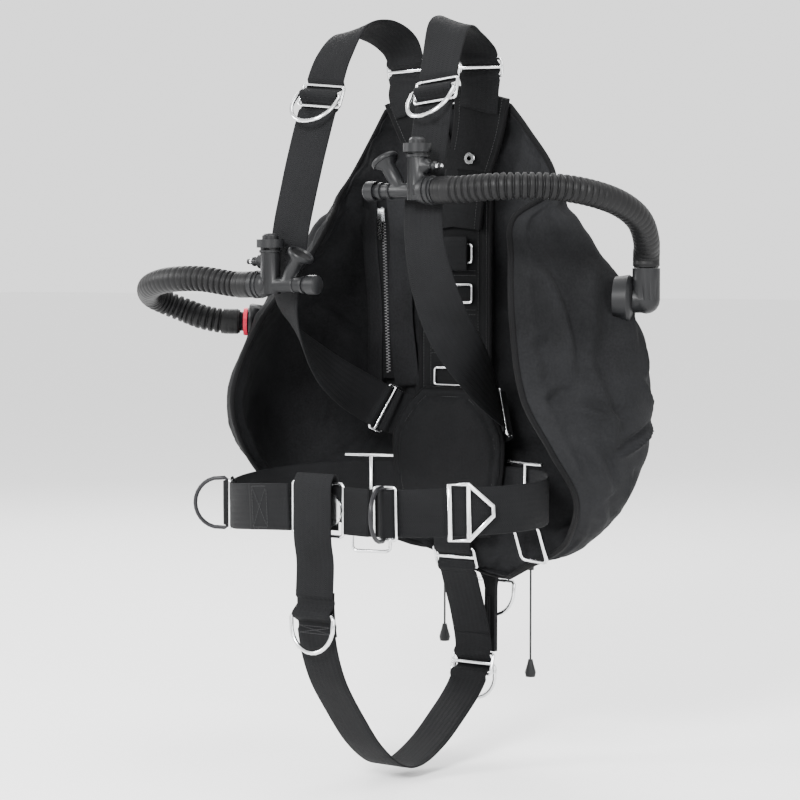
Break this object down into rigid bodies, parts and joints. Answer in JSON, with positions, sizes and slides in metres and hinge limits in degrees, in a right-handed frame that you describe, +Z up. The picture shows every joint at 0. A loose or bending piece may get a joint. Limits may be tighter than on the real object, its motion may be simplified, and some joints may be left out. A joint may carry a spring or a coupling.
{
  "type": "sidemount buoyancy vest",
  "caption": "Webbing harness with a soft wrap-around air wing, corrugated inflator hoses, pull dumps, waist belt with cam buckle, crotch strap and stainless rings.",
  "frame": {"origin": "middle of the lumbar pad's flat front face at the height of the waist belt", "axes": "+X diver's left, -Y diver's front, +Z up the spine"},
  "size_m": [0.5985, 0.3597, 0.8237],
  "materials": {
    "nylon": "matte woven nylon",
    "webbing": "woven nylon webbing",
    "padding": "soft woven cover over foam",
    "bladder": "coated fabric air bladder",
    "steel": "polished stainless steel",
    "plastic": "moulded black plastic",
    "hose_rubber": "corrugated rubber",
    "red_plastic": "moulded red plastic",
    "cord": "braided cord"
  },
  "bodies": {
    "harness": {"spine_panel": "nylon", "lumbar_pad": "padding", "yoke_panel": "nylon", "yoke_eyelet": "steel", "spine_ring_upper": "steel", "spine_ring_middle": "steel", "spine_ring_lower": "steel", "shoulder_strap_left": "webbing", "shoulder_strap_right": "webbing", "yoke_slide_left": "steel", "yoke_slide_right": "steel", "chest_slide_left": "steel", "chest_slide_right": "steel", "lumbar_slide_left": "steel", "lumbar_slide_right": "steel", "waist_belt": "webbing", "belt_tail": "webbing", "belt_fold": "webbing", "belt_slide": "steel", "hip_slide": "steel", "triangle_ring": "steel", "drop_hook_left": "steel", "drop_hook_right": "steel", "buckle_frame": "steel", "crotch_strap_front": "webbing", "crotch_strap_rear": "webbing", "crotch_rear_slide": "steel", "crotch_top_slide": "steel", "zipper_tape": "webbing", "wing_cover": "nylon", "wing_bladder": "bladder", "inflator_body_left": "plastic", "inflator_body_right": "plastic", "port_elbow_left": "plastic", "port_straight_right": "plastic", "port_lock_ring_right": "red_plastic", "hose_left": "hose_rubber", "hose_right": "hose_rubber", "dump_valve_left": "plastic", "dump_valve_right": "plastic", "tail_tab": "webbing"},
    "chest_ring_left": {"chest_d_ring_left": "steel"},
    "chest_ring_right": {"chest_d_ring_right": "steel"},
    "belt_ring": {"belt_d_ring": "steel"},
    "hip_ring": {"hip_d_ring": "steel"},
    "drop_loop_left": {"drop_ring_left": "steel"},
    "drop_loop_right": {"drop_ring_right": "steel"},
    "crotch_front_ring": {"crotch_front_d_ring": "steel"},
    "crotch_rear_ring": {"crotch_rear_d_ring": "steel"},
    "tail_ring": {"tail_d_ring": "steel"},
    "lever": {"buckle_lever": "steel"},
    "inflate_left": {"inflate_button_left": "plastic"},
    "inflate_right": {"inflate_button_right": "plastic"},
    "dump_left": {"dump_button_left": "plastic"},
    "dump_right": {"dump_button_right": "plastic"},
    "pull_left": {"pull_cord_left": "cord", "toggle_left": "plastic"},
    "pull_right": {"pull_cord_right": "cord", "toggle_right": "plastic"},
    "zipper_pull": {"zipper_slider": "steel"}
  },
  "joints": [
    {"name": "chest_ring_left_swing", "type": "hinge", "parent": "harness", "child": "chest_ring_left", "pos_m": [0.07667, -0.13014, 0.43546], "axis": [0.9943, -0.0445, 0.0965], "range_deg": [-100, 8]},
    {"name": "chest_ring_right_swing", "type": "hinge", "parent": "harness", "child": "chest_ring_right", "pos_m": [-0.07667, -0.13014, 0.43546], "axis": [0.9943, 0.0445, -0.0965], "range_deg": [-100, 8]},
    {"name": "belt_ring_swing", "type": "hinge", "parent": "harness", "child": "belt_ring", "pos_m": [0.08447, -0.23007, -0.00792], "axis": [-0.0159, -0.0041, 0.9999], "range_deg": [-70, 70]},
    {"name": "hip_ring_swing", "type": "hinge", "parent": "harness", "child": "hip_ring", "pos_m": [-0.17554, -0.17091, -0.01513], "axis": [0.0147, -0.0229, 0.9996], "range_deg": [-70, 70]},
    {"name": "drop_loop_left_swing", "type": "hinge", "parent": "harness", "child": "drop_loop_left", "pos_m": [0.10706, 0.00213, -0.0367], "axis": [-0.9404, 0.3401, 0], "range_deg": [0, 75]},
    {"name": "drop_loop_right_swing", "type": "hinge", "parent": "harness", "child": "drop_loop_right", "pos_m": [-0.10524, 0.00278, -0.037], "axis": [-0.9453, -0.3261, 0], "range_deg": [-30, 60]},
    {"name": "crotch_front_ring_swing", "type": "hinge", "parent": "harness", "child": "crotch_front_ring", "pos_m": [0, -0.24202, -0.11879], "axis": [1, 0, 0], "range_deg": [-100, 5]},
    {"name": "crotch_rear_ring_swing", "type": "hinge", "parent": "harness", "child": "crotch_rear_ring", "pos_m": [0, 0.06011, -0.20825], "axis": [1, 0, 0], "range_deg": [-10, 110]},
    {"name": "tail_ring_swing", "type": "hinge", "parent": "harness", "child": "tail_ring", "pos_m": [0.01, 0.0846, -0.114], "axis": [1, 0, 0], "range_deg": [0, 110]},
    {"name": "buckle_lever_swing", "type": "hinge", "parent": "harness", "child": "lever", "pos_m": [-0.0215, -0.23565, -0.007], "axis": [0, 0, -1], "range_deg": [0, 3]},
    {"name": "inflate_press_left", "type": "slide", "parent": "harness", "child": "inflate_left", "axis": [0, 0, -1], "range_m": [0, 0.003], "stiffness_N_per_m": 400, "springref_m": -0.002},
    {"name": "dump_press_left", "type": "slide", "parent": "harness", "child": "dump_left", "axis": [1, 0, 0], "range_m": [0, 0.003], "stiffness_N_per_m": 400, "springref_m": -0.002},
    {"name": "dump_pull_left", "type": "slide", "parent": "harness", "child": "pull_left", "axis": [0, 0, -1], "range_m": [0, 0.006], "stiffness_N_per_m": 300, "springref_m": -0.002},
    {"name": "inflate_press_right", "type": "slide", "parent": "harness", "child": "inflate_right", "axis": [0, 0, -1], "range_m": [0, 0.003], "stiffness_N_per_m": 400, "springref_m": -0.002},
    {"name": "dump_press_right", "type": "slide", "parent": "harness", "child": "dump_right", "axis": [-1, 0, 0], "range_m": [0, 0.003], "stiffness_N_per_m": 400, "springref_m": -0.002},
    {"name": "dump_pull_right", "type": "slide", "parent": "harness", "child": "pull_right", "axis": [0, 0, -1], "range_m": [0, 0.006], "stiffness_N_per_m": 300, "springref_m": -0.002},
    {"name": "zipper_run", "type": "slide", "parent": "harness", "child": "zipper_pull", "axis": [0, 0.0548, -0.9985], "range_m": [0, 0.165]}
  ]
}
